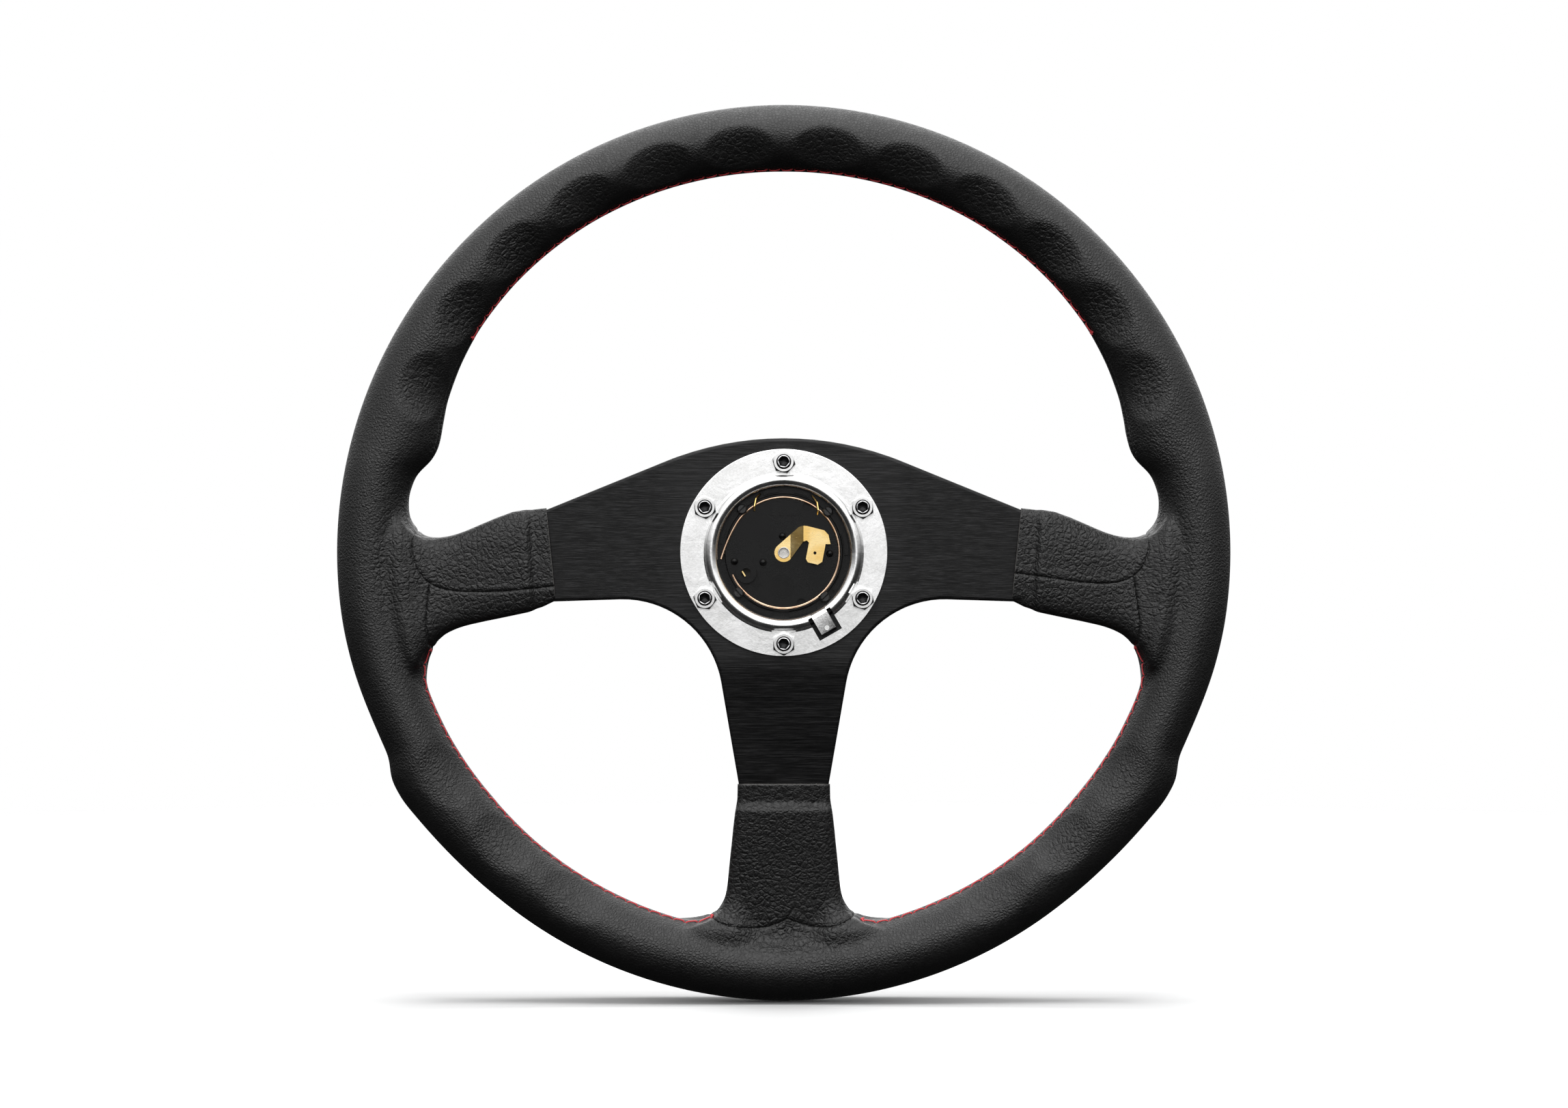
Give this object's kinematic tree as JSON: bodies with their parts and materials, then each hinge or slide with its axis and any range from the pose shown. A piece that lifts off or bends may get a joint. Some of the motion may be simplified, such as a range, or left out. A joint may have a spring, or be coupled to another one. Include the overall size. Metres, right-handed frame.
{
  "type": "quick release steering wheel",
  "caption": "Three-spoke sports steering wheel with a leather rim, red stitching, black brushed spokes and a horn button, open at its mounting side.",
  "frame": {"origin": "centre of the circle of the six screw ends, in the plane of the nuts' rear faces", "axes": "-Y along the wheel's axis towards the steering column, +Z towards the top of the upright wheel, +X to the right as seen from the column side"},
  "size_m": [0.3505, 0.0456, 0.3504],
  "materials": {
    "leather": "satin grained",
    "thread": "matte twisted thread",
    "plate": "brushed, black anodised",
    "zinc": "bright zinc plated",
    "screw": "black oxide",
    "plastic": "moulded satin",
    "brass": "stamped",
    "bronze": "drawn wire",
    "foam": "moulded foam",
    "hoop": "plain",
    "spring": "spring steel",
    "chrome": "polished",
    "badge": "gloss"
  },
  "bodies": {
    "wheel": {"spoke_plate": "plate", "rim_hoop": "hoop", "foam_grip": "foam", "leather_rim_cover": "leather", "leather_left_spoke_upper": "leather", "leather_left_spoke_lower": "leather", "leather_right_spoke_upper": "leather", "leather_right_spoke_lower": "leather", "leather_bottom_sleeve": "leather", "stitching_top": "thread", "stitching_lower_left": "thread", "stitching_lower_right": "thread", "horn_retaining_ring": "zinc", "hub_screws": "screw", "hub_nuts": "zinc", "horn_base": "plastic", "wire_ring": "bronze", "terminal_lug": "brass", "centre_rivet": "zinc", "ground_contact": "brass", "return_springs": "spring"},
    "horn_button": {"horn_cap": "plastic", "cap_contact": "brass", "badge_ring": "chrome", "horn_badge": "badge"}
  },
  "joints": [
    {"name": "horn_press", "type": "slide", "parent": "wheel", "child": "horn_button", "axis": [0, -1, 0], "range_m": [0, 0.0015], "stiffness_N_per_m": 1500, "springref_m": -0.003, "deforming": ["return_springs"]}
  ]
}
